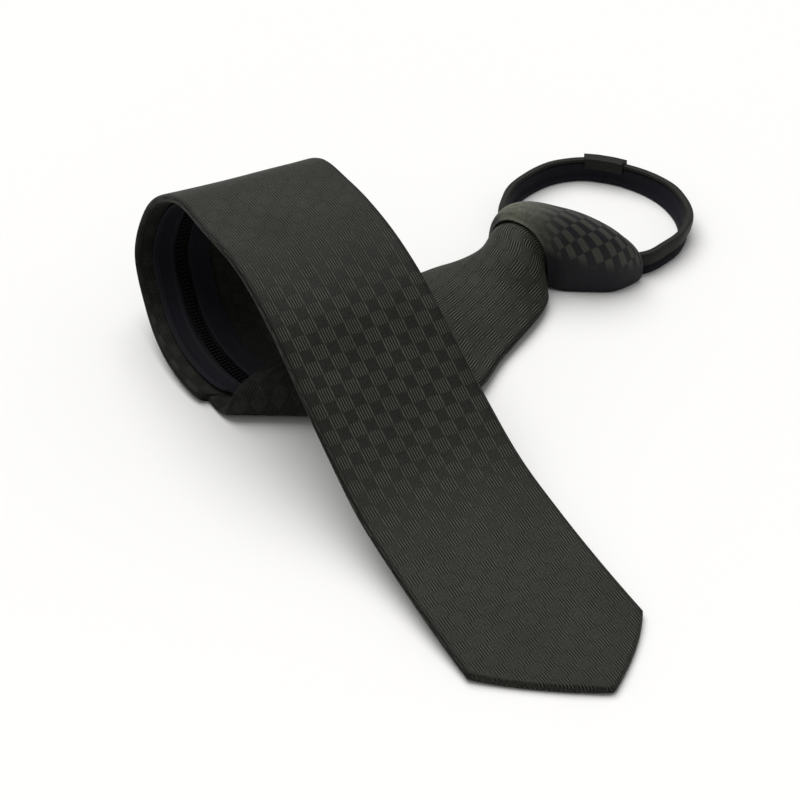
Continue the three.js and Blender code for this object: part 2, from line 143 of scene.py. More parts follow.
# The knot from its throat to its collar side: x, y, swing, how far it has opened, height
KNOT_ROWS = [
    (9.0, 15.7, -41, 0, 0.93),
    (9.6, 15.8, -39, 0.22, 1),
    (10.6, 15.9, -35, 0.52, 1.08),
    (11.7, 16.1, -31, 0.85, 1.09),
    (12.6, 16.8, -27, 1, 0.97),
    (13.15, 17.4, -25, 1.05, 0.78),
]

# The neck loop, a share across and a share of its depth out from the knot. A held row lies in the knot,
# and its first share is of the collar side's half width from its middle.
LOOP_ROWS = [
    ("held", -0.67, -0.13),
    ("held", -0.73, -0.01),
    ("across", 0.115, 0.1),
    ("across", 0.041, 0.2),
    ("across", 0.007, 0.35),
    ("across", 0, 0.51),
    ("across", 0.031, 0.65),
    ("across", 0.089, 0.8),
    ("across", 0.167, 0.9),
    ("across", 0.267, 0.97),
    ("across", 0.392, 1.0),
    ("across", 0.518, 1.0),
    ("across", 0.633, 0.97),
    ("across", 0.748, 0.91),
    ("across", 0.843, 0.83),
    ("across", 0.926, 0.72),
    ("across", 0.979, 0.61),
    ("across", 1.0, 0.49),
    ("across", 1.0, 0.37),
    ("across", 0.973, 0.25),
    ("across", 0.932, 0.13),
    ("held", 0.73, 0),
    ("held", 0.64, -0.13),
]

UNIT = BLADE_LENGTH / 100
UP = Vector((0, 0, 1))

# The camera, at the photograph's angle, aimed at the origin of the rows above
CAMERA_DISTANCE = 0.716
CAMERA_ELEVATION = 36.98
FOCAL_PIXELS = 2628
IMAGE_PIXELS = 800
SENSOR = 36
CLIP_RANGE = (0.01, 20)

CORE_ROW = 3             # the row of the knot that its hard block is centred on


def source_shift():
    """From the rows' own coordinates to the frame's, by the hard block in the knot."""
    low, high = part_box("knot_core")
    row = KNOT_ROWS[CORE_ROW]
    x = (low[0] + high[0]) / 2 - row[0] * UNIT
    y = (low[1] + high[1]) / 2 - row[1] * UNIT
    return Vector((x, y, low[2] - WRAP_WALL - CLEARANCE))


SHIFT = source_shift()


def link_object(name, data):
    made = bpy.data.objects.new(name, data)
    bpy.context.collection.objects.link(made)
    return made


def make_camera():
    data = bpy.data.cameras.new("camera")
    data.sensor_width = SENSOR
    data.lens = FOCAL_PIXELS / IMAGE_PIXELS * SENSOR
    data.clip_start = CLIP_RANGE[0]
    data.clip_end = CLIP_RANGE[1]
    camera = link_object("camera", data)
    rise = math.radians(CAMERA_ELEVATION)
    back = Vector((0, -math.cos(rise), math.sin(rise)))
    camera.location = SHIFT + back * CAMERA_DISTANCE
    camera.rotation_euler = (math.pi / 2 - rise, 0, 0)
    bpy.context.scene.camera = camera


make_camera()


# Curves through rows of values
def through(places, values, place):
    """The value at a place, on a smooth curve through the values at their places."""
    last = len(places) - 1
    i = 0
    while i < last - 1 and place > places[i + 1]:
        i += 1

    def rate(k):
        return (values[k + 1] - values[k]) / (places[k + 1] - places[k])

    def slope(k):
        if k == 0:
            return rate(0)
        if k == last:
            return rate(last - 1)
        before = places[k] - places[k - 1]
        after = places[k + 1] - places[k]
        return (rate(k) * before + rate(k - 1) * after) / (before + after)

    h = places[i + 1] - places[i]
    t = (place - places[i]) / h
    t2 = t * t
    t3 = t2 * t
    return (
        (2 * t3 - 3 * t2 + 1) * values[i] + (t3 - 2 * t2 + t) * h * slope(i)
        + (3 * t2 - 2 * t3) * values[i + 1] + (t3 - t2) * h * slope(i + 1)
    )


def smoothstep(x, low, high):
    t = min(max((x - low) / (high - low), 0), 1)
    return t * t * (3 - 2 * t)


def lerp(a, b, t):
    return a + (b - a) * t


def rough(*where):
    """Smooth noise at three coordinates, between about -1 and 1."""
    return noise.noise(Vector(where))


TAIL_BEHIND = BLADE_THICKNESS / 2 + CLEARANCE + TAPE_THICKNESS / 2
FOLD_RISE = 2 * TAIL_BEHIND + TAPE_THICKNESS + FOLD_ROOM
MOUTH_RADIUS = MOUTH_HALF_WIDTH - WRAP_WALL - 3 * CLEARANCE - BLADE_THICKNESS / 2
NECK_HALF = (BLADE_WIDTH - BLADE_TAPER) / 2
MOUTH_ARCH = NECK_HALF / MOUTH_RADIUS


def fold_stations(base):
    """The half turn of the soft fold, with a short flat run before it and after it."""
    radius = FOLD_RISE / 2
    swing = math.radians(FOLD["swing"])
    slant = math.tan(math.radians(FOLD["slant"]))
    last = len(FOLD_ANGLES) - 1
    made = []
    for k, angle in enumerate(FOLD_ANGLES):
        lead = {0: -radius, last: radius}.get(k, 0)
        turn = math.radians(angle)
        out = radius * (math.sin(turn) - 1) - abs(lead)
        along = (radius * (turn - math.pi / 2) + lead) * slant
        made.append({
            "x": FOLD["x"] * UNIT + math.cos(swing) * along + math.sin(swing) * out,
            "y": FOLD["y"] * UNIT + math.sin(swing) * along - math.cos(swing) * out,
            "z": base + radius * (1 - math.cos(turn)),
            "swing": FOLD["swing"], "tilt": 0, "slant": FOLD["slant"], "arch": 0,
        })
    return made


def mouth_station(row, base):
    z = KNOT_HEIGHT * KNOT_ROWS[0][4] - WRAP_WALL - CLEARANCE - base
    return {"x": row[0] * UNIT, "y": row[1] * UNIT, "z": z,
            "swing": row[2], "tilt": 0, "slant": 0, "arch": MOUTH_ARCH}


def blade_stations():
    base = BLADE_THICKNESS / 2 + SURFACE_GAP
    made = []
    for row in LIE:
        if row == "fold":
            made += fold_stations(base)
        elif row == "mouth":
            made.append(mouth_station(KNOT_ROWS[0], base))
        elif row == "inside":
            made.append(mouth_station(KNOT_ROWS[1], base))
        else:
            station = dict(zip(LIE_COLUMNS, row))
            arch = station["arch"] * MOUTH_ARCH
            drop = NECK_HALF / arch * (1 - math.cos(arch)) if arch > 0 else 0
            rise = station["rise"] / 100 * (ROLL_HEIGHT - BLADE_THICKNESS)
            station["z"] = base + station["layer"] * FOLD_RISE + rise + drop
            station["x"] *= UNIT
            station["y"] *= UNIT
            station["arch"] = arch
            made.append(station)
    place = 0
    for k, station in enumerate(made):
        if k:
            before = made[k - 1]
            place += math.dist([station[a] for a in "xyz"], [before[a] for a in "xyz"])
        station["place"] = place
    return made


STATIONS = blade_stations()
PLACES = [station["place"] for station in STATIONS]
CURVES = {name: [s[name] for s in STATIONS] for name in ("x", "y", "z", "swing", "tilt", "slant", "arch")}
CORNER_PLACE = PLACES[1]
END_PLACE = PLACES[-1]


def at(name, place):
    return through(PLACES, CURVES[name], place)


def middle(place):
    return Vector([at(name, place) for name in "xyz"])


def half_width(place):
    share = max(place - CORNER_PLACE, 0) / (END_PLACE - CORNER_PLACE)
    return (BLADE_WIDTH - BLADE_TAPER * share) / 2


class Section:
    """The cloth's section at one place: it gives points and weave coordinates across the cloth."""

    REACH = 0.0002       # to each side, where the direction along the cloth is taken
    LEAST_ARCH = 0.01

    def __init__(self, place):
        swing = math.radians(at("swing", place))
        tilt = math.radians(at("tilt", place))
        self.place = place
        self.centre = middle(place) + SHIFT
        level = math.cos(tilt)
        self.across = Vector((math.cos(swing) * level, math.sin(swing) * level, math.sin(tilt)))
        along = middle(min(place + self.REACH, END_PLACE)) - middle(max(place - self.REACH, 0))
        self.face = self.across.cross(along).normalized()
        self.stretch = 1 / math.cos(math.radians(at("slant", place)))
        self.lean = self.across.dot(along.normalized()) * self.stretch
        self.arch = max(at("arch", place), 0)
        self.radius = half_width(place) / self.arch if self.arch >= self.LEAST_ARCH else 0

    def point(self, b, off, layer=0):
        """The point at b across the cloth, off its layer, which lies behind its middle or on it."""
        if not self.radius:
            return self.centre + self.across * (b * self.stretch) + self.face * (layer + off)
        turn = b / (self.radius + layer)
        reach = self.radius + layer + off
        side = self.across * (reach * math.sin(turn) * self.stretch)
        return self.centre + side + self.face * (reach * math.cos(turn) - self.radius)

    def weave(self, b):
        """Cloth coordinates in cells: across the cloth and along it."""
        return b / CELL, (self.place + b * self.lean) / CELL


# Meshes
def new_object(name, vertices, faces, uvs):
    """A piece with its place in its mesh. uvs holds one pair for each corner of each face."""
    mesh = bpy.data.meshes.new(name)
    mesh.from_pydata(vertices, [], faces)
    layer = mesh.uv_layers.new(name="weave")
    layer.data.foreach_set("uv", [value for face in uvs for pair in face for value in pair])
    mesh.validate()
    volume = 0
    for polygon in mesh.polygons:
        a = mesh.vertices[polygon.vertices[0]].co
        for k in range(1, len(polygon.vertices) - 1):
            b = mesh.vertices[polygon.vertices[k]].co
            c = mesh.vertices[polygon.vertices[k + 1]].co
            volume += a.dot(b.cross(c))
    if volume < 0:
        mesh.flip_normals()
    mesh.shade_smooth()
    return link_object(name, mesh)


def strip_object(name, sections, weaves, closed_ring=False):
    """A tube through sections, capped at both ends or closed as a ring.

    weaves holds for each section a start and an end pair per column.
    """
    count = len(sections[0])
    vertices = [point for section in sections for point in section]
    faces = []
    uvs = []
    rings = len(sections) if closed_ring else len(sections) - 1
    for s in range(rings):
        n = (s + 1) % len(sections)
        for k in range(count):
            j = (k + 1) % count
            faces.append((s * count + k, s * count + j, n * count + j, n * count + k))
            uvs.append((weaves[s][k][0], weaves[s][k][1], weaves[n][k][1], weaves[n][k][0]))
    if not closed_ring:
        last = (len(sections) - 1) * count
        faces.append(tuple(reversed(range(count))))
        uvs.append([weaves[0][k][0] for k in reversed(range(count))])
        faces.append(tuple(range(last, last + count)))
        uvs.append([weaves[-1][k][0] for k in range(count)])
    return new_object(name, vertices, faces, uvs)


def spans(marks):
    """Each mark with the next one round, as the start and end pairs of the columns."""
    return list(zip(marks, marks[1:] + marks[:1]))


def steps(low, high, step):
    """Even places from low to high, about a step apart."""
    count = max(2, round((high - low) / step))
    return [low + (high - low) * k / count for k in range(count + 1)]


# The blade
EDGE_ROUND = 0.0016      # how far in the edge's roll starts
FRONT_COLUMNS = 56
EDGE_POINTS = 5
LEAST_HALF = EDGE_ROUND * 1.02
TIP_END_SHARES = (0.03, 0.06, 0.1, 0.15)
TIP_SHARE = 0.2          # from here on the tip has even steps and its relief
TIP_STEP = 0.0011
FRONT_STEP = 0.0013
FOLD_STEP = 0.0005
FOLD_MARGIN = 0.001
TIP_THIN = 0.6           # the point's thickness, as a share of the blade's


def blade_profile(half):
    """Across the cloth: pairs of b and off as a share of half the thickness, round both faces."""
    flat = half - EDGE_ROUND
    top = []
    for k in range(EDGE_POINTS):
        angle = math.pi / 2 * k / EDGE_POINTS
        top.append((flat + EDGE_ROUND * math.cos(angle), math.sin(angle)))
    for k in range(FRONT_COLUMNS + 1):
        top.append((flat - 2 * flat * k / FRONT_COLUMNS, 1))
    for k in range(1, EDGE_POINTS):
        angle = math.pi / 2 * (1 - k / EDGE_POINTS)
        top.append((-flat - EDGE_ROUND * math.cos(angle), math.sin(angle)))
    return top + [(-b, -off) for b, off in top]


EDGE_RIPPLE = 0.00022
RIPPLE_RATE = 105
SOFT_SWELL = 0.00016
SWELL_RATES = (55, 38)   # across and along
SEAM_STEP = 0.00035
SEAM_HALF = 0.0012
EDGE_SHARE = 0.97        # past this share of the half width the relief dies out
FLOOR_GAP = 0.00003


def cloth_relief(b, half, place, front):
    """How far the cloth stands out from its even thickness."""
    share = abs(b) / half
    swell = rough(b * SWELL_RATES[0], place * SWELL_RATES[1], 3.1 if front else 7.7)
    ripple = rough(math.copysign(2.0, b), place * RIPPLE_RATE, 1.3)
    height = swell * SOFT_SWELL + ripple * EDGE_RIPPLE * smoothstep(share, 0.62, EDGE_SHARE)
    if not front:
        height += SEAM_STEP * smoothstep(b, -SEAM_HALF, SEAM_HALF) * (1 - smoothstep(share, 0.3, 0.8))
    return height * (1 - smoothstep(share, EDGE_SHARE, 1.0))


BODY_LIFT = 0.0042       # how far the body's far side stands above the rows' own line
BODY_RISE = (0.298, 0.340)
BODY_FALL = (0.348, 0.378)
BODY_SHEAR = 0.22        # how far its weave is drawn askew
SHEAR_RISE = (0.295, 0.325)


def body_lift(b, half, place):
    """How far the cloth is raised in the body, between the soft fold and the throat."""
    share = smoothstep(place, *BODY_RISE) * (1 - smoothstep(place, *BODY_FALL))
    side = b / half
    ridge = (1 - smoothstep(side, -0.45, 0.95)) * (1 - 0.2 * smoothstep(-side, 0.5, 1.0))
    return UP * (BODY_LIFT * ridge * share)


TIP_START = CORNER_PLACE - TIP_LENGTH


def blade_places():
    """Where the blade's sections are: closer at the tip and in the soft fold."""
    fold = LIE.index("fold")
    fold_low = PLACES[fold] - FOLD_MARGIN
    fold_high = PLACES[fold + len(FOLD_ANGLES) - 1] + FOLD_MARGIN
    places = [TIP_START + TIP_LENGTH * share for share in TIP_END_SHARES]
    places += steps(TIP_START + TIP_LENGTH * TIP_SHARE, CORNER_PLACE - CLEARANCE, TIP_STEP)
    places += steps(CORNER_PLACE, fold_low, FRONT_STEP)
    places += steps(fold_low, fold_high, FOLD_STEP)[1:]
    return places + steps(fold_high, END_PLACE, TIP_STEP)[1:]


def make_blade():
    sections = []
    weaves = []
    for place in blade_places():
        section = Section(place)
        share = min((place - TIP_START) / TIP_LENGTH, 1)
        half = half_width(place) * share + TIP_BULGE * 4 * share * (1 - share)
        shift = TIP_LEAN * (1 - share)
        thin = smoothstep(share, 0, 0.12) * (1 - TIP_THIN) + TIP_THIN
        points = []
        spots = []
        marks = []
        profile = blade_profile(max(half, LEAST_HALF))
        squeeze = half / max(half, LEAST_HALF)
        for k, (b, off) in enumerate(profile):
            b = b * squeeze + shift
            front = k < len(profile) // 2
            relief = cloth_relief(b - shift, half, place, front) if share > TIP_SHARE else 0
            height = off * BLADE_THICKNESS / 2 * thin
            height += relief if front else -relief
            point = section.point(b, height) + body_lift(b - shift, half, place)
            point.z = max(point.z, FLOOR_GAP)
            points.append(point)
            spots.append(b)
            u, v = section.weave(b)
            v += BODY_SHEAR * smoothstep(place, *SHEAR_RISE) * u
            behind = math.copysign(2 * half / CELL, b) - u
            marks.append((u if front else behind, v))
        columns = spans(marks)
        for k in range(len(points) // 2, len(points)):
            if spots[k] < 0 <= spots[(k + 1) % len(points)]:
                columns[k] = (marks[k], (-2 * half / CELL + 0.01, columns[k][1][1]))
        sections.append(points)
        weaves.append(columns)
    return strip_object("blade_cloth", sections, weaves)


# The knot
KNOT_SHOULDER = 0.22     # height of its widest place, as a share of its height
KNOT_OVER = 0.7          # the share of a turn that goes over the top
KNOT_CORNER = 0.1        # the share of the underside in each of its round corners
KNOT_FLAT = 0.94         # half of the flat underside, as a share of the half width
SIDE_POWER = 0.85
TOP_POWER = 0.8
WRAP_STEPS_ROUND = 84
WRAP_STEPS_ALONG = 34


def knot_value(column, share):
    """One column of the knot's rows, at a share of the way from throat to collar."""
    places = [k / (len(KNOT_ROWS) - 1) for k in range(len(KNOT_ROWS))]
    return through(places, [row[column] for row in KNOT_ROWS], share)


def knot_point(share, turn, inset):
    """A point of the wrap, its inset in from the outside.

    share runs from throat to collar, turn once round from the right end over the top.
    """
    half = lerp(MOUTH_HALF_WIDTH, COLLAR_HALF_WIDTH, knot_value(3, share)) - inset
    height = KNOT_HEIGHT * knot_value(4, share)
    swing = math.radians(knot_value(2, share))
    shoulder = KNOT_SHOULDER * height
    under = (turn - KNOT_OVER) / (1 - KNOT_OVER)
    if under < 0:
        angle = math.pi * turn / KNOT_OVER
        b = half * math.copysign(abs(math.cos(angle)) ** SIDE_POWER, math.cos(angle))
        z = shoulder + (height - inset - shoulder) * math.sin(angle) ** TOP_POWER
    elif KNOT_CORNER <= under <= 1 - KNOT_CORNER:
        b = half * KNOT_FLAT * (2 * (under - KNOT_CORNER) / (1 - 2 * KNOT_CORNER) - 1)
        z = inset
    else:
        angle = min(under, 1 - under) / KNOT_CORNER * math.pi / 2
        side = -1 if under < KNOT_CORNER else 1
        b = side * half * (KNOT_FLAT + (1 - KNOT_FLAT) * math.cos(angle))
        z = shoulder + (inset - shoulder) * math.sin(angle)
    x = knot_value(0, share) * UNIT + math.cos(swing) * b
    y = knot_value(1, share) * UNIT + math.sin(swing) * b
    return Vector((x, y, z)) + SHIFT


LIP_THIN = 0.0009        # how far the wrap's outside draws in at the throat
LIP_SHARE = 0.22
LIP_STEPS = 4
THROAT_BULGE = 0.0003    # how far the round lips stand out past the throat and the collar
COLLAR_BULGE = 0.0006
WRAP_SWELL = 0.0003
WRAP_SWELL_RATE = 120
WRAP_ROUND = (0.075, 0.1)  # the wrap's length round it at the throat and at the collar


def wound_weave(share, turn):
    """Cloth coordinates in cells on the wrap: the cloth runs slantwise over it."""
    round_it = turn * lerp(WRAP_ROUND[0], WRAP_ROUND[1], share) / CELL
    return 0.68 * round_it - 3.7 * share, 0.2 * round_it + 15.0 * share


def make_wrap():
    rows = []
    weaves = []
    shares = [k / WRAP_STEPS_ALONG for k in range(WRAP_STEPS_ALONG + 1)]
    turns = [k / WRAP_STEPS_ROUND for k in range(WRAP_STEPS_ROUND)]
    bends = [(1 - math.cos(math.pi * k / LIP_STEPS)) / 2 for k in range(1, LIP_STEPS)]
    path = [(share, LIP_THIN * (1 - smoothstep(share, 0, LIP_SHARE)), 0) for share in shares]
    path += [(1, WRAP_WALL * bend, COLLAR_BULGE * math.sin(math.pi * bend)) for bend in bends]
    path += [(share, WRAP_WALL, 0) for share in reversed(shares)]
    path += [(0, lerp(WRAP_WALL, LIP_THIN, bend), -THROAT_BULGE * math.sin(math.pi * bend)) for bend in bends]
    top = KNOT_OVER / 2
    forward = (knot_point(1, top, 0) - knot_point(0, top, 0)).normalized()
    for k, (share, inset, push) in enumerate(path):
        row = []
        outside = k < len(shares)
        for turn in turns:
            point = knot_point(share, turn, inset) + forward * push
            if outside and turn < KNOT_OVER:
                swell = rough(*(point * WRAP_SWELL_RATE)) * WRAP_SWELL
                outward = (point - knot_point(share, turn, WRAP_WALL)).normalized()
                keep = smoothstep(share, 0, 0.1) * (1 - smoothstep(share, 0.9, 1))
                point += outward * (swell * keep)
            point.z = max(point.z, FLOOR_GAP)
            row.append(point)
        rows.append(row)
        marks = [wound_weave(share, turn) for turn in turns + [1]]
        weaves.append(list(zip(marks, marks[1:])))
    return strip_object("knot_cloth", rows, weaves, closed_ring=True)


# The neck loop
def loop_points():
    row = KNOT_ROWS[-1]
    swing = math.radians(row[2])
    across = Vector((math.cos(swing), math.sin(swing), 0))
    out = Vector((-math.sin(swing), math.cos(swing), 0))
    collar = Vector((row[0] * UNIT, row[1] * UNIT, 0)) + SHIFT
    collar.z = 0
    collar_half = COLLAR_HALF_WIDTH * row[3]
    made = []
    for kind, share, depth in LOOP_ROWS:
        side = share * collar_half if kind == "held" else share * LOOP_WIDTH - collar_half - LOOP_BULGE
        made.append(collar + across * side + out * (depth * LOOP_DEPTH))
    return made


def between(a, b, start, end, x):
    """What lies at x on the line that has a at start and b at end."""
    return a * ((end - x) / (end - start)) + b * ((x - start) / (end - start))


def catmull_rom(points, per_span):
    """A centripetal curve through the points, as a list of points close together."""
    ends = [points[0] * 2 - points[1]] + points + [points[-1] * 2 - points[-2]]
    made = []
    for k in range(1, len(ends) - 2):
        p = ends[k - 1:k + 3]
        t = [0]
        for a, b in zip(p, p[1:]):
            t.append(t[-1] + max((b - a).length, 1e-9) ** 0.5)
        for s in range(per_span):
            x = lerp(t[1], t[2], s / per_span)
            first = [between(p[m], p[m + 1], t[m], t[m + 1], x) for m in range(3)]
            second = [between(first[m], first[m + 1], t[m], t[m + 2], x) for m in range(2)]
            made.append(between(*second, t[1], t[2], x))
    made.append(points[-1])
    return made


LOOP_STEPS = 24
LOOP_REACH = 6           # points to each side, where its direction is taken
LOOP = catmull_rom(loop_points(), LOOP_STEPS)
LOOP_PLACES = [0]
for loop_a, loop_b in zip(LOOP, LOOP[1:]):
    LOOP_PLACES.append(LOOP_PLACES[-1] + (loop_b - loop_a).length)
LOOP_LENGTH = LOOP_PLACES[-1]


def loop_at(share):
    """The point and the outward direction at a share of the loop's length."""
    place = min(max(share, 0), 1) * LOOP_LENGTH
    k = 0
    while k < len(LOOP) - 2 and LOOP_PLACES[k + 1] < place:
        k += 1
    t = (place - LOOP_PLACES[k]) / (LOOP_PLACES[k + 1] - LOOP_PLACES[k])
    near = LOOP[max(k - LOOP_REACH, 0)]
    far = LOOP[min(k + LOOP_REACH + 1, len(LOOP) - 1)]
    outward = UP.cross(far - near).normalized()
    return LOOP[k].lerp(LOOP[k + 1], t), outward


def lean_at(share):
    """The right band leans outwards between the keeper and the knot."""
    return BAND_LEAN * smoothstep(share, 0.5, 0.64) * (1 - smoothstep(share, 0.7, 0.88))


BAND_STEP = 0.0008


def band_object(name, low, high, profile, relief=None):
    """A band piece along the loop. profile: pairs of distance outwards and height, closed."""
    sections = []
    weaves = []
    lengths = [0]
    for a, b in zip(profile, profile[1:] + profile[:1]):
        lengths.append(lengths[-1] + math.dist(a, b))
    for share in steps(low, high, BAND_STEP / LOOP_LENGTH):
        point, outward = loop_at(share)
        lean = lean_at(share)
        section = []
        for k, (d, z) in enumerate(profile):
            if relief:
                extra_d, extra_z = relief(share * LOOP_LENGTH, d, z)
                d += extra_d
                z += extra_z
            section.append(point + outward * (d + z * lean) + UP * z)
        sections.append(section)
        v = share * LOOP_LENGTH / CELL
        weaves.append([((lengths[k] / CELL, v), (lengths[k + 1] / CELL, v)) for k in range(len(profile))])
    return strip_object(name, sections, weaves)


def rounded(points, radius, pieces=4):
    """The outline with round corners: a list of points, the same way round."""
    made = []
    count = len(points)
    for k in range(count):
        p = Vector(points[k])
        a = Vector(points[k - 1]) - p
        b = Vector(points[(k + 1) % count]) - p
        cut = min(radius, a.length * 0.45, b.length * 0.45)
        start = p + a.normalized() * cut
        end = p + b.normalized() * cut
        for s in range(pieces + 1):
            t = s / pieces
            made.append(tuple(start * (1 - t) ** 2 + p * 2 * t * (1 - t) + end * t ** 2))
    return made


HALF_TAPE = BAND_TAPE / 2
COVER_OUT = HALF_TAPE + CLEARANCE + COVER_WALL
COVER_LOW = BAND_HEIGHT - COVER_HEIGHT
CAP_LOW = BAND_HEIGHT - COVER_WALL
TAPE_LOW = BAND_TEETH_HEIGHT + CLEARANCE
LIP_LOW = 0.0003
FINE = 0.0001            # the smallest step between the bands' lines
COVER_ROUND = 0.00055
TAPE_ROUND = 0.0002
KEEPER_ROUND = 0.00028
KEEPER_SKIRT = 0.0029    # how far down its skirt reaches inside


def cover_profile():
    """The folded cloth: full outside, over the top and a thin lip inside."""
    outline = [
        (HALF_TAPE + CLEARANCE, COVER_LOW), (COVER_OUT - FINE, COVER_LOW),
        (COVER_OUT, BAND_HEIGHT - 16 * FINE), (COVER_OUT - 4 * FINE, BAND_HEIGHT),
        (-HALF_TAPE, BAND_HEIGHT), (-HALF_TAPE - 2 * FINE, CAP_LOW), (HALF_TAPE + CLEARANCE, CAP_LOW),
    ]
    return rounded(outline, COVER_ROUND)


def tape_profile():
    """The tape: both its lips are turned down beside the row of teeth, and a raised line runs above them."""
    top = CAP_LOW - CLEARANCE
    near = BAND_TEETH_WIDTH / 2 + FINE
    lip = near + 4 * FINE
    neck = TAPE_LOW + 9 * FINE
    half = [
        (near, LIP_LOW), (lip, LIP_LOW), (lip - FINE, TAPE_LOW), (HALF_TAPE, neck),
        (HALF_TAPE + 2 * FINE, neck + 3 * FINE), (HALF_TAPE, neck + 6 * FINE), (HALF_TAPE, top),
    ]
    inside = [(near - 4 * FINE, TAPE_LOW), (near, TAPE_LOW - 3 * FINE)]
    other = [(-d, z) for d, z in reversed(half)]
    return rounded(half + other + [(-d, z) for d, z in reversed(inside)] + inside, TAPE_ROUND, 2)


def keeper_profile():
    """The sleeve: down to the covers' lower edge outside, and a short skirt inside."""
    near = COVER_OUT + FINE
    far = -HALF_TAPE - FINE
    under = BAND_HEIGHT + FINE
    skirt = BAND_HEIGHT - KEEPER_SKIRT
    out, inner, top = near + KEEPER_WALL, far - KEEPER_WALL, under + KEEPER_WALL
    outline = [
        (near, COVER_LOW), (out, COVER_LOW), (out, top), (inner, top), (inner, skirt), (far, skirt),
        (far, under), (near, under),
    ]
    return rounded(outline, KEEPER_ROUND, 3)


def cover_relief(place, d, z):
    """Soft lumps outside, and an edge that isn't quite straight."""
    lump = rough(place * 160, z * 90, 4.2) * 0.00022
    return (lump if d > 0 else 0), rough(place * 130, 9.1, 2.0) * 0.00018


def hem_relief(place, _, z):
    """The tape's lower edge waves a little."""
    wave = rough(place * 110, 5.5, 1.0) * 0.00025
    return wave * (1 - smoothstep(z, 0.002, 0.006)), 0


def keeper_relief(place, _, z):
    return rough(place * 300, z * 200, 2) * 0.0001, 0


# The tail behind the blade
TAIL_START = END_PLACE - TAIL_LENGTH
TAPE_MIDDLE = TEETH_WIDTH / 2 + TEETH_GAP + TAPE_WIDTH / 2
TAB_ROOM = TAB_WALL + CLEARANCE
THROAT_ROOM = 0.0005
DRIFT_FROM = END_PLACE - TAIL_LENGTH * 0.1
DRIFT_TO = END_PLACE - TAIL_LENGTH * 0.6
TAIL_STEP = 0.0011
TAPE_SHAPE = (           # shares of the tape's width out from the teeth, and of half its thickness
    (0.0, 0.5), (0.03, 0.9), (0.10, 1.0), (0.17, 0.9), (0.22, 0.5), (0.3, 0.42), (0.45, 0.4), (0.6, 0.42),
    (0.7, 0.5), (0.75, 0.72), (0.82, 0.78), (0.88, 0.55), (0.93, 0.6), (0.98, 0.5), (1.0, 0.2),
)


def tail_middle(place):
    """How far the tail's middle lies from the blade's."""
    return -TAIL_DRIFT * (1 - smoothstep(place, DRIFT_TO, DRIFT_FROM))


def tail_layer(place):
    """How far the tail's middle layer lies behind the blade's."""
    room = TAB_ROOM * (1 - smoothstep(place, TAIL_START + TAB_LENGTH * 1.5, TAIL_START + TAB_LENGTH * 3))
    return -TAIL_BEHIND - THROAT_ROOM * at("arch", place) / MOUTH_ARCH - room


TAIL_SECTIONS = [Section(place) for place in steps(TAIL_START, END_PLACE, TAIL_STEP)]


def tail_strip(name, side):
    """One tape: thin, with a raised inner edge beside the teeth and a rounded sewn outer edge."""
    sections = []
    weaves = []
    half = TAPE_THICKNESS / 2
    inner = side * (TAPE_MIDDLE - TAPE_WIDTH / 2)
    outer = side * (TAPE_MIDDLE + TAPE_WIDTH / 2)
    outline = [(s, o, 1) for s, o in TAPE_SHAPE] + [(s, o, -1) for s, o in reversed(TAPE_SHAPE)]
    for section in TAIL_SECTIONS:
        place = section.place
        layer = tail_layer(place)
        points = []
        marks = []
        for share, off, face in outline:
            b = tail_middle(place) + lerp(inner, outer, share)
            wave = rough(place * 90, side * 3.0, 0.7) * 0.00012 * share
            points.append(section.point(b, face * off * half - wave, layer))
            marks.append((b / CELL, place / CELL))
        sections.append(points)
        weaves.append(spans(marks))
    return strip_object(name, sections, weaves)


TAB_STEP = 0.0012


def make_tab():
    """The cloth sleeve over the tail's end, closed at its end and open towards the knot.

    Each row has a place and a size: more than 0 on the outside, 0 on the inside, less at its end wall.
    """
    inner_half = TAPE_MIDDLE + TAPE_WIDTH / 2 + CLEARANCE
    inner_thick = TAPE_THICKNESS / 2 + CLEARANCE
    outline = [(1, -1), (1, 1), (-1, 1), (-1, -1)]
    start = TAIL_START - CLEARANCE
    lip = TAIL_START + TAB_LENGTH
    rows = [(start - TAB_WALL, 0.7), (start - TAB_WALL * 0.7, 0.92)]
    rows += [(place, 1) for place in steps(start - TAB_WALL * 0.3, lip, TAB_STEP)]
    rows += [(place, 0) for place in steps(start, lip, TAB_STEP)[::-1]] + [(start, -1)]
    sections = []
    weaves = []
    for place, size in rows:
        section = Section(place)
        if size > 0:
            half = inner_half + TAB_WALL * size
            thick = inner_thick + TAB_WALL * size
        elif size == 0:
            half, thick = inner_half, inner_thick
        else:
            half, thick = inner_half * 0.4, inner_thick * 0.4
        profile = rounded([(b * half, off * thick) for b, off in outline], thick * 0.9, 5)
        layer = tail_layer(place)
        shift = tail_middle(place)
        sections.append([section.point(shift + b, off, layer) for b, off in profile])
        weaves.append(spans([((shift + b) / CELL, place / CELL) for b, _ in profile]))
    return strip_object("tail_end_cloth", sections, weaves)


# Rows of teeth along a line
def path_mesh(name, lines):
    """Lines of points, each with the direction that its pieces face, as a mesh of edges."""
    points = []
    edges = []
    faces_up = []
    for line in lines:
        first = len(points)
        for point, up in line:
            points.append(point)
            faces_up.append(up)
        edges += [(k, k + 1) for k in range(first, len(points) - 1)]
    mesh = bpy.data.meshes.new(name)
    mesh.from_pydata(points, edges, [])
    attribute = mesh.attributes.new("facing", "FLOAT_VECTOR", "POINT")
    attribute.data.foreach_set("vector", [value for up in faces_up for value in up])
    return link_object(name, mesh)


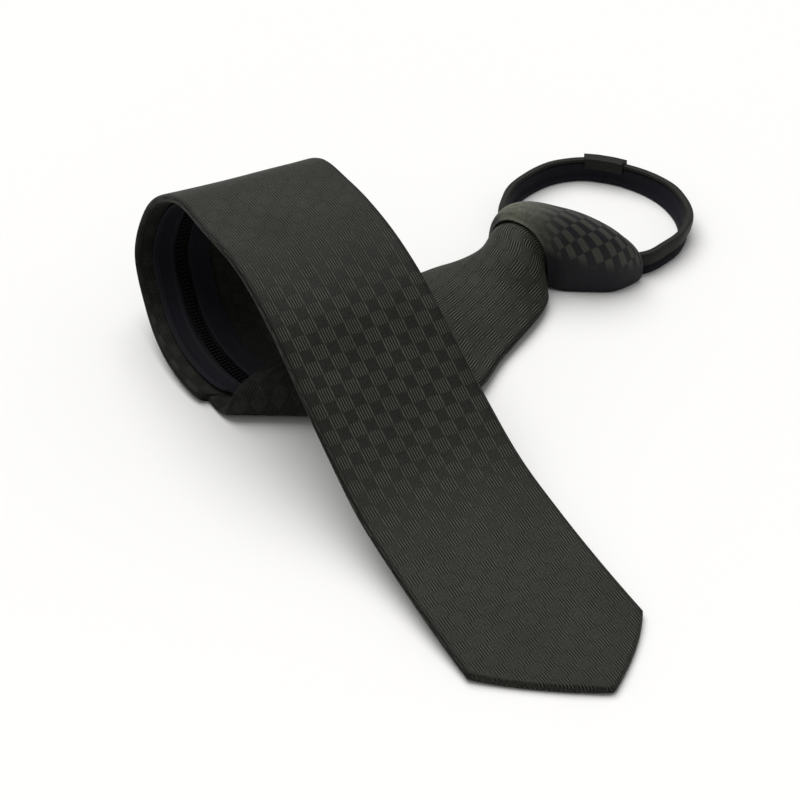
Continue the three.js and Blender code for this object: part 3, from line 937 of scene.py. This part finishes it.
def add_node(tree, kind, settings, values):
    """A node with its settings, and its inputs by name: linked from sockets or set to constants."""
    made = tree.nodes.new(kind)
    for key, value in (settings or {}).items():
        setattr(made, key, value)
    for key, value in values.items():
        label = key.replace("_", " ")
        socket = next(s for s in made.inputs if s.name == label and s.enabled)
        if isinstance(value, bpy.types.NodeSocket):
            tree.links.new(value, socket)
        else:
            socket.default_value = value
    return made


def bar_row_tree(name):
    """Round bars at an even pitch along the lines and across them, as the teeth of a coil zipper."""
    tree = bpy.data.node_groups.new(name, "GeometryNodeTree")
    face = tree.interface
    face.new_socket("Lines", in_out="INPUT", socket_type="NodeSocketGeometry")
    for label, value in (("Pitch", 0.001), ("Bar Length", 0.001), ("Bar Radius", 0.0002)):
        socket = face.new_socket(label, in_out="INPUT", socket_type="NodeSocketFloat")
        socket.default_value = value
    face.new_socket("Material", in_out="INPUT", socket_type="NodeSocketMaterial")
    face.new_socket("Bars", in_out="OUTPUT", socket_type="NodeSocketGeometry")

    def node(kind, settings=None, **values):
        return add_node(tree, kind, settings, values)

    given = node("NodeGroupInput").outputs
    curve = node("GeometryNodeMeshToCurve", Mesh=given["Lines"])
    even = node("GeometryNodeResampleCurve", {"mode": "LENGTH"}, Curve=curve.outputs[0],
                Length=given["Pitch"])
    tangent = node("GeometryNodeInputTangent")
    facing = node("GeometryNodeInputNamedAttribute", {"data_type": "FLOAT_VECTOR"}, Name="facing")
    along_line = node("FunctionNodeAlignRotationToVector", {"axis": "X", "pivot_axis": "AUTO"},
                      Vector=tangent.outputs[0])
    upright = node("FunctionNodeAlignRotationToVector", {"axis": "Z", "pivot_axis": "X"},
                   Rotation=along_line.outputs[0], Vector=facing.outputs[0])
    bar = node("GeometryNodeMeshCylinder", {"fill_type": "NGON"}, Vertices=8, Radius=given["Bar Radius"],
               Depth=given["Bar Length"])
    laid = node("GeometryNodeTransform", Geometry=bar.outputs[0], Rotation=(math.pi / 2, 0, 0))
    round_bar = node("GeometryNodeSetShadeSmooth", Geometry=laid.outputs[0], Shade_Smooth=True)
    many = node("GeometryNodeInstanceOnPoints", Points=even.outputs[0], Instance=round_bar.outputs[0],
                Rotation=upright.outputs[0])
    real = node("GeometryNodeRealizeInstances", Geometry=many.outputs[0])
    dressed = node("GeometryNodeSetMaterial", Geometry=real.outputs[0], Material=given["Material"])
    node("NodeGroupOutput", Bars=dressed.outputs[0])
    return tree


def bars_along(name, lines, tree, pitch, length, radius, material):
    """Runs the tree on the lines and keeps its result as a plain mesh piece."""
    source = path_mesh(name + "_line", lines)
    modifier = source.modifiers.new("bars", "NODES")
    modifier.node_group = tree
    values = {"Pitch": pitch, "Bar Length": length, "Bar Radius": radius, "Material": material}
    for item in tree.interface.items_tree:
        if item.in_out == "INPUT" and item.name in values:
            modifier[item.identifier] = values[item.name]
    bpy.context.view_layer.update()
    graph = bpy.context.evaluated_depsgraph_get()
    mesh = bpy.data.meshes.new_from_object(source.evaluated_get(graph))
    mesh.name = name
    source.modifiers.remove(modifier)
    bpy.data.objects.remove(source)
    return link_object(name, mesh)


def tail_line(b, off):
    """A line on the tail at a distance b from its middle, off its middle layer."""
    line = []
    for section in TAIL_SECTIONS:
        place = section.place
        line.append((section.point(tail_middle(place) + b, off, tail_layer(place)), tuple(section.face)))
    return line


def band_line(z, low, high):
    """A line along a band's middle at the height z."""
    line = []
    for share in steps(low, high, BAND_STEP / LOOP_LENGTH):
        point, outward = loop_at(share)
        line.append((point + outward * (z * lean_at(share)) + UP * z, tuple(UP)))
    return line


OBJECT_OUTPUT = 3        # of the texture coordinates
COLOUR_OUTPUT = 2        # of the mixing node


class Field:
    """A shader socket whose operators add Math nodes."""

    def __init__(self, tree, socket):
        self.tree = tree
        self.socket = socket

    def math(self, operation, *others):
        made = self.tree.nodes.new("ShaderNodeMath")
        made.operation = operation
        for k, value in enumerate((self, *others)):
            if isinstance(value, Field):
                self.tree.links.new(value.socket, made.inputs[k])
            else:
                made.inputs[k].default_value = value
        return Field(self.tree, made.outputs[0])

    def __add__(self, other):
        return self.math("ADD", other)

    __radd__ = __add__

    def __mul__(self, other):
        return self.math("MULTIPLY", other)

    def __sub__(self, other):
        return self.math("SUBTRACT", other)

    def __rsub__(self, other):
        return (self * -1) + other

    def fract(self):
        return self.math("FRACT")

    def absolute(self):
        return self.math("ABSOLUTE")

    def cosine(self):
        return self.math("COSINE")

    def sine(self):
        return self.math("SINE")

    def power(self, exponent):
        return self.math("POWER", exponent)

    def clamp(self):
        made = self.math("ADD", 0)
        made.socket.node.use_clamp = True
        return made


class Finish:
    """A material under construction, with one method that adds any other node."""

    def __init__(self, name, **constants):
        self.material = bpy.data.materials.new(name)
        self.material.use_nodes = True
        self.tree = self.material.node_tree
        self.shader = self.tree.nodes["Principled BSDF"]
        for key, value in constants.items():
            self.shader.inputs[key.replace("_", " ")].default_value = value

    def node(self, kind, settings=None, output=0, **values):
        values = {key: getattr(value, "socket", value) for key, value in values.items()}
        return Field(self.tree, add_node(self.tree, kind, settings, values).outputs[output])

    def cells(self):
        """Cloth coordinates: across and along, in cells, and both as one vector."""
        pair = self.node("ShaderNodeUVMap", {"uv_map": "weave"})
        across, along, _ = self.parts(pair)
        return across, along, pair

    def parts(self, vector):
        made = self.node("ShaderNodeSeparateXYZ", Vector=vector).socket.node
        return [Field(self.tree, socket) for socket in made.outputs]

    def place(self):
        """The place on the object, in metres."""
        return self.node("ShaderNodeTexCoord", output=OBJECT_OUTPUT)

    def noise(self, vector, scale, detail=2.0, roughness=0.5):
        return self.node("ShaderNodeTexNoise", Vector=vector, Scale=scale, Detail=detail, Roughness=roughness)

    def stretched(self, vector, scale):
        return self.node("ShaderNodeMapping", Vector=vector, Scale=scale)

    def ramp(self, field, start, end):
        """0 up to start and 1 from end on, with a smooth step between them."""
        return self.node("ShaderNodeMapRange", {"interpolation_type": "SMOOTHSTEP"}, Value=field,
                         From_Min=start, From_Max=end)

    def zone(self, field, rise, fall):
        """1 between two ramps and 0 outside them."""
        return self.ramp(field, *rise) * (1 - self.ramp(field, *fall))

    def mix(self, factor, low, high):
        """A colour between low and high."""
        return self.node("ShaderNodeMix", {"data_type": "RGBA"}, output=COLOUR_OUTPUT, Factor=factor,
                         A=(*low, 1), B=(*high, 1))

    def set(self, label, field):
        self.tree.links.new(field.socket, self.shader.inputs[label])

    def dress(self, tone, dark, light, roughness, height=None, distance=0.0, strength=1.0):
        """Sets the colour, the roughness and the relief, and gives the material."""
        self.set("Base Color", self.mix(tone.clamp(), dark, light))
        self.set("Roughness", roughness.clamp())
        if height:
            bump = self.node("ShaderNodeBump", Distance=distance, Strength=strength, Height=height)
            self.set("Normal", bump)
        return self.material


# Finishes. A tone of 1 is the light cloth colour, and the bright one is as much lighter as BRIGHT says.
CLOTH_DARK = (0.0022, 0.0024, 0.0016)
CLOTH_LIGHT = (0.070, 0.074, 0.056)
CLOTH_BRIGHT = (0.112, 0.118, 0.090)
BRIGHT = 1.6
WOUND_DARK = (0.0120, 0.0122, 0.0150)
TAPE_DARK = (0.0026, 0.0027, 0.0050)
TAPE_LIGHT = (0.0105, 0.0110, 0.0170)
COIL_DARK = (0.0008, 0.0009, 0.0018)
COIL_LIGHT = (0.003, 0.0033, 0.0055)
FORMER_DARK = (0.004, 0.004, 0.004)
FORMER_LIGHT = (0.012, 0.012, 0.012)
FLOOR_DARK = (0.845, 0.84, 0.83)
FLOOR_LIGHT = (0.855, 0.85, 0.84)
CLOTH_SHEEN = {"Sheen_Weight": 0.01, "Sheen_Roughness": 0.3, "Specular_IOR_Level": 0.12}
TWO_PI = 2 * math.pi

# Where the weave's look changes along the blade, and where painted highlight and painted shade lie on it, in
# cells from the tip's point
CHECK_SHADE_RISE, CHECK_SHADE_FALL = (12.0, 28.0), (33.0, 46.0)      # painted shade on the plain checks of the front blade
TOP_HIGHLIGHT_RISE = (36.0, 46.0)                                # painted highlight on the pale top of the roll
INNER_SHADE_RISE, BODY_RISE_CELLS = (53.0, 58.0), (82.0, 86.0)   # painted shade on the roll's far side and underside, and the body, which also gets painted shade
NEAR_SHADE_RISE = (-6.0, 14.0)                               # painted shade towards the near end
# Painted shade along the blade's rolled edges:
RIM_START = 6.0                                        # the half width at the tip's corners
RIM_TAPER = 0.017
RIM_SHADE_RISE, RIM_SHADE_FALL = (6.0, 6.4), (6.7, 7.2)


def check_cloth():
    """Small square checks of ribbed and plain weave, in a very dark greenish black, with painted highlight on
    the roll's top and painted shade along the blade.
    """
    finish = Finish("check_cloth", **CLOTH_SHEEN)
    across, along, pair = finish.cells()
    side = (across * math.pi).sine()
    end = (along * math.pi).sine()
    bulged = side + end * 0.14
    ribbed = (bulged * (end + side * 0.08) * 12.0 + 0.5).clamp()
    plain = 1 - ribbed
    wave = ((across.fract() - 0.5) * (RIBS * TWO_PI)).cosine() * -0.5 + 0.5
    thread = finish.noise(finish.stretched(pair, (RIBS * 2.0, 3.0, 1.0)), 1.0, 2.0, 0.6)
    grain = finish.noise(finish.stretched(pair, (5.0, 7.0, 1.0)), 1.0, 2.0, 0.7)
    cloudy = finish.noise(finish.place(), 60.0, 3.0)
    cell_tone = finish.noise(finish.stretched(pair, (0.45, 0.45, 1.0)), 1.0, 2.0)
    # painted shade: the front blade's plain checks are darker, and the seams between the checks fainter
    check_shade = finish.zone(along, CHECK_SHADE_RISE, CHECK_SHADE_FALL)
    # painted highlight on the roll's top: paler ribs with less contrast
    top = finish.ramp(along, *TOP_HIGHLIGHT_RISE)
    # painted shade on the roll's far side and underside, with less rib contrast there
    inner = finish.zone(along, INNER_SHADE_RISE, BODY_RISE_CELLS)
    # the body from the soft fold on: its own check contrast, and painted shade in the shade factor below
    body = finish.ramp(along, *BODY_RISE_CELLS)
    seam = 1 - (bulged.absolute() * (5.0 - body * 1.8)).clamp()
    # painted shade along the blade's rolled edges
    rim_shade = finish.zone(across.absolute() + (along - RIM_START) * RIM_TAPER, RIM_SHADE_RISE, RIM_SHADE_FALL)
    plain_tone = (0.27 - check_shade * 0.15 + body * 0.15) * ((grain - 0.5) * (3.4 - body * 1.6) + 1.0)
    contrast = 0.88 - top * 0.22 + body * 1.3 - inner * 0.45
    rib_tone = (wave.power(1.9) * contrast + top * 0.07 - body * 0.42) * ((thread - 0.5) * 1.2 + 1.0)
    tone = ribbed * rib_tone + plain * plain_tone
    # painted shade, darker towards the near end
    near = finish.ramp(along, *NEAR_SHADE_RISE) * 0.28 + 0.72
    shade = (1 - body * 0.28) * (1 - inner * 0.35) * (1 - rim_shade * 0.55) * near
    uneven = (cloudy * 0.5 + 0.75) * (cell_tone * 0.5 + 0.75)
    tone = tone * (1 - seam * (0.85 - check_shade * 0.65)) * uneven * shade
    roughness = ribbed * 0.06 + grain * 0.14 + 0.5
    height = ribbed * (wave * 0.9 + thread * 0.12) + plain * (grain * 0.45 + 0.4) - seam * 0.35
    return finish.dress(tone * (1 / BRIGHT), CLOTH_DARK, CLOTH_BRIGHT, roughness, height, 0.00012, 0.9)


KNOT_LEFT = KNOT_ROWS[0][0] * UNIT + SHIFT.x - MOUTH_HALF_WIDTH
PATTERN_RISE = (KNOT_LEFT + 0.009, KNOT_LEFT + 0.026)  # from left to right, where the checks come in and the painted sheen of the top left ends
# A slanted line on the knot: painted shade below it, the checks and the painted sheen above it.
SHADE_LINE_SLOPE = 0.22
SHADE_LINE_HEIGHT = (0.0145, 0.0195)


def wound_cloth():
    """The same cloth drawn tight round the knot: long checks, painted sheen streaks at the top left, and
    painted shade low down and a little over the upper right.
    """
    finish = Finish("wound_cloth", **CLOTH_SHEEN)
    across, along, pair = finish.cells()
    checks = (across * math.pi).sine() * (along * math.pi).sine()
    light = ((checks - 0.03) * 7.0 + 0.5).clamp()
    # streaks of the painted sheen, also used in the relief
    streaks = finish.noise(finish.stretched(pair, (5.0, 0.35, 1.0)), 1.0, 3.0, 0.65)
    fine = finish.noise(finish.stretched(pair, (10.0, 4.0, 1.0)), 1.0, 3.0, 0.75)
    x, _, z = finish.parts(finish.place())
    right = finish.ramp(x, *PATTERN_RISE)
    # 1 above the slanted line, 0 below it where painted shade falls
    high = finish.ramp(z + (x - KNOT_LEFT) * SHADE_LINE_SLOPE, *SHADE_LINE_HEIGHT)
    # the upper right, where the checks show in full contrast, under a little painted shade
    checks_and_shade = right * high
    # painted sheen over the knot's top left, which lifts its dark cells
    top_left_sheen = (1 - right) * high
    tone = light * (checks_and_shade * 0.68 + 0.13) + (1 - light) * (top_left_sheen * 0.45 + 0.07)
    # painted sheen streaks at the top left, and a little painted shade over the upper right
    tone = (tone + top_left_sheen * (1.15 + (streaks - 0.5) * 2.4)) * (1 - checks_and_shade * 0.25)
    # painted shade low down on the knot
    tone = tone * (fine * 0.7 + 0.65) * (high * 0.8 + 0.2)
    height = light * 0.4 + streaks * 0.6 + fine * 0.25
    roughness = fine * 0.16 + 0.46
    return finish.dress(tone * (1 / BRIGHT), WOUND_DARK, CLOTH_BRIGHT, roughness, height, 0.00008, 0.7)


def edge_cloth():
    """The cloth where it is cut narrow for the bands: fine ribs across them, no clear checks."""
    finish = Finish("edge_cloth", **CLOTH_SHEEN)
    across, along, pair = finish.cells()
    ribs = ((along + across * 0.25) * (RIBS * TWO_PI)).cosine() * 0.5 + 0.5
    grain = finish.noise(finish.stretched(pair, (5.0, 3.0, 1.0)), 1.0, 3.0, 0.7)
    cloudy = finish.noise(finish.place(), 90.0, 3.0)
    tone = (ribs * 0.12 + (grain - 0.5) * 0.3 + 0.09) * (cloudy * 0.8 + 0.6)
    height = ribs * 0.6 + grain * 0.4
    return finish.dress(tone, CLOTH_DARK, CLOTH_LIGHT, grain * 0.2 + 0.45, height, 0.00008, 0.8)


TWILL_RATE = 9           # lines in a cell
ROW_RATE = 11


def zipper_web():
    """Twilled tape in navy black."""
    finish = Finish("zipper_web", Sheen_Weight=0.01, Sheen_Roughness=0.4, Specular_IOR_Level=0.15)
    across, along, pair = finish.cells()
    twill = ((across * 0.7 + along) * (TWILL_RATE * TWO_PI)).cosine() * 0.5 + 0.5
    rows = (across * (ROW_RATE * TWO_PI)).cosine() * 0.5 + 0.5
    fuzz = finish.noise(finish.stretched(pair, (30.0, 30.0, 1.0)), 1.0, 3.0, 0.7)
    cloudy = finish.noise(finish.place(), 45.0, 2.0)
    tone = twill * 0.25 + rows * 0.2 + fuzz * 0.35 + (cloudy - 0.5) * 0.4
    height = twill * 0.5 + rows * 0.3 + fuzz * 0.2
    return finish.dress(tone, TAPE_DARK, TAPE_LIGHT, fuzz * 0.15 + 0.62, height, 0.00006, 0.8)


def moulded(name, dark, light, roughness, gloss):
    """Moulded plastic with a faint flow and fine scuffs."""
    finish = Finish(name, Specular_IOR_Level=gloss)
    place = finish.place()
    flow = finish.noise(place, 260.0, 3.0)
    scuff = finish.noise(place, 1800.0, 2.0, 0.7)
    return finish.dress(flow * 0.7 + scuff * 0.3, dark, light, scuff * 0.25 + roughness, scuff, 0.00002, 0.5)


def floor_finish():
    finish = Finish("pale_floor", Specular_IOR_Level=0.2)
    cloud = finish.noise(finish.place(), 3.0, 2.0)
    return finish.dress(cloud, FLOOR_DARK, FLOOR_LIGHT, cloud * 0.05 + 0.7)


CLOTH = check_cloth()
WOUND = wound_cloth()
EDGE = edge_cloth()
WEB = zipper_web()
COIL = moulded("coil_plastic", COIL_DARK, COIL_LIGHT, 0.5, 0.12)
FORMER = moulded("former_plastic", FORMER_DARK, FORMER_LIGHT, 0.45, 0.3)


def settle(piece, material, nodes=()):
    """The finish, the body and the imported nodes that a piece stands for."""
    piece.data.materials.clear()
    piece.data.materials.append(material)
    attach(piece, "root")
    if nodes:
        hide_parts(*nodes)
    return piece


blade = settle(make_blade(), CLOTH, ["blade"])
wrap = settle(make_wrap(), WOUND, ["knot_wrap"])

HALF_GAP = 0.00001 / LOOP_LENGTH
SIDES = (("left", 0, BACK_SHARE - HALF_GAP), ("right", BACK_SHARE + HALF_GAP, 1))
TOOTH_PITCH = 0.00125
TOOTH_RADIUS = 0.00042
BAND_TOOTH_LENGTH = BAND_TEETH_WIDTH * 0.92
BAND_TOOTH_HEIGHT = BAND_TEETH_HEIGHT / 2
CORD_HALF = 0.0003
CORD_HEIGHT = 0.0009
CORD_OUTLINE = [(-CORD_HALF, CORD_HEIGHT), (CORD_HALF, CORD_HEIGHT), (CORD_HALF, CORD_HEIGHT + 2 * CORD_HALF),
                (-CORD_HALF, CORD_HEIGHT + 2 * CORD_HALF)]
tooth_tree = bar_row_tree("zipper_teeth_row")

for side, low, high in SIDES:
    cover = band_object(f"band_cover_{side}_cloth", low, high, cover_profile(), cover_relief)
    settle(cover, EDGE, [f"band_cover_{side}"])
    tape = band_object(f"band_tape_{side}_web", low, high, tape_profile(), hem_relief)
    settle(tape, WEB, [f"band_tape_{side}"])
    teeth_low, teeth_high = max(low, TEETH_INSET), min(high, 1 - TEETH_INSET)
    cord = band_object(f"band_cord_{side}", teeth_low, teeth_high, rounded(CORD_OUTLINE, CORD_HALF, 2))
    settle(cord, WEB)
    line = band_line(BAND_TOOTH_HEIGHT, teeth_low, teeth_high)
    teeth = bars_along(f"band_teeth_{side}_coil", [line], tooth_tree, TOOTH_PITCH, BAND_TOOTH_LENGTH,
                       TOOTH_RADIUS, COIL)
    settle(teeth, COIL, [f"band_teeth_{side}"])

KEEPER_SHARE = KEEPER_LENGTH / 2 / LOOP_LENGTH
keeper = band_object("keeper_cloth", BACK_SHARE - KEEPER_SHARE, BACK_SHARE + KEEPER_SHARE, keeper_profile(),
                     keeper_relief)
settle(keeper, EDGE, ["keeper"])

for side, sign in (("left", -1), ("right", 1)):
    tape = tail_strip(f"tail_tape_{side}_web", sign)
    settle(tape, WEB, [f"tail_tape_{side}"])

ROW_OFFSET = 0.00062
ROW_DEPTH = -0.0001
TAIL_TOOTH_LENGTH = 0.00135
lines = [tail_line(-ROW_OFFSET, ROW_DEPTH), tail_line(ROW_OFFSET, ROW_DEPTH)[1:]]
tail_teeth = bars_along("tail_teeth_coil", lines, tooth_tree, TOOTH_PITCH, TAIL_TOOTH_LENGTH, TOOTH_RADIUS,
                        COIL)
settle(tail_teeth, COIL, ["tail_teeth"])

settle(make_tab(), CLOTH, ["tail_end"])

for node in ("knot_core", "slider"):
    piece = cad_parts[node]
    piece.data.materials.clear()
    piece.data.materials.append(FORMER)


# Floor, light and sky
FLOOR_HALF = 3.0
SUN_DIRECTION = (0.2, -0.45, -1)
SUN_ANGLE = 60
SUN_STRENGTH = 2.72
SKY_STRENGTH = 0.40


def make_floor():
    corners = [(FLOOR_HALF * x, FLOOR_HALF * y, 0) for x, y in ((-1, -1), (1, -1), (1, 1), (-1, 1))]
    mesh = bpy.data.meshes.new("floor")
    mesh.from_pydata(corners, [], [(0, 1, 2, 3)])
    mesh.materials.append(floor_finish())
    floor = link_object("floor", mesh)
    floor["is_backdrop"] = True


def make_light():
    sun = bpy.data.lights.new("overhead", "SUN")
    sun.angle = math.radians(SUN_ANGLE)
    sun.energy = SUN_STRENGTH
    link_object("overhead", sun).rotation_euler = Vector(SUN_DIRECTION).to_track_quat("-Z", "Y").to_euler()
    world = bpy.data.worlds.new("studio")
    world.use_nodes = True
    sky = world.node_tree.nodes["Background"]
    sky.inputs[0].default_value = (1, 1, 1, 1)
    sky.inputs[1].default_value = SKY_STRENGTH
    bpy.context.scene.world = world


make_floor()
make_light()
bpy.context.scene.view_settings.view_transform = "Standard"

low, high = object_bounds()
